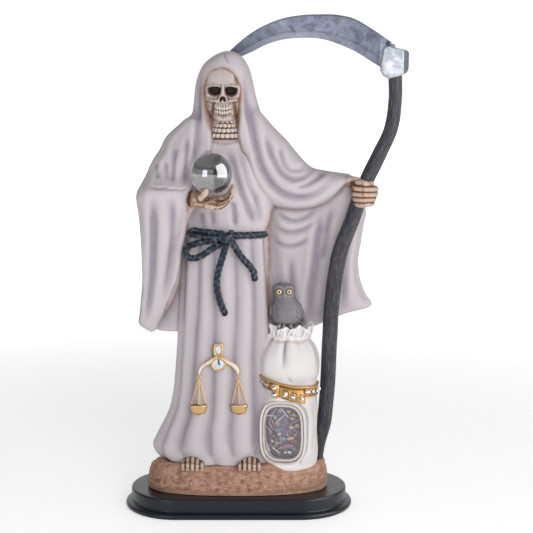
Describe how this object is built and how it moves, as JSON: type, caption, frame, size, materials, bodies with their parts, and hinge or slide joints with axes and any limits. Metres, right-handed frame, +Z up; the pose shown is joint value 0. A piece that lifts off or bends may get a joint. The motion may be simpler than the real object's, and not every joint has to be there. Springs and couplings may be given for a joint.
{
  "type": "santa muerte figure",
  "caption": "Standing statue of a robed, hooded skeleton with a scythe, glass ball, money sack and owl, cast in painted resin on a black plinth.",
  "frame": {"origin": "middle of the plinth's underside", "axes": "+Z up, the figure looks along -Y, +X to the viewer's right"},
  "size_m": [0.1738, 0.0865, 0.3021],
  "materials": {
    "black_lacquer": "satin black lacquer",
    "painted_resin": "pearly white paint with lilac and brown washes",
    "pole_paint": "charcoal paint, dry-brushed grain",
    "blade_paint": "mottled blue-grey silver paint",
    "clear_glass": "polished",
    "owl_paint": "matte grey paint",
    "clear_resin": "clear cast resin, glossy",
    "rhinestone": "cut and foiled"
  },
  "bodies": {
    "root": {"plinth": "black_lacquer", "figure": "painted_resin", "scythe_snath": "pole_paint", "scythe_blade": "blade_paint", "crystal_ball": "clear_glass", "owl": "owl_paint", "amulet_window": "clear_resin", "rhinestone_01": "rhinestone", "rhinestone_02": "rhinestone", "rhinestone_03": "rhinestone", "rhinestone_04": "rhinestone", "rhinestone_05": "rhinestone", "rhinestone_06": "rhinestone", "rhinestone_07": "rhinestone", "rhinestone_08": "rhinestone", "rhinestone_09": "rhinestone", "rhinestone_10": "rhinestone", "rhinestone_11": "rhinestone"}
  },
  "joints": []
}
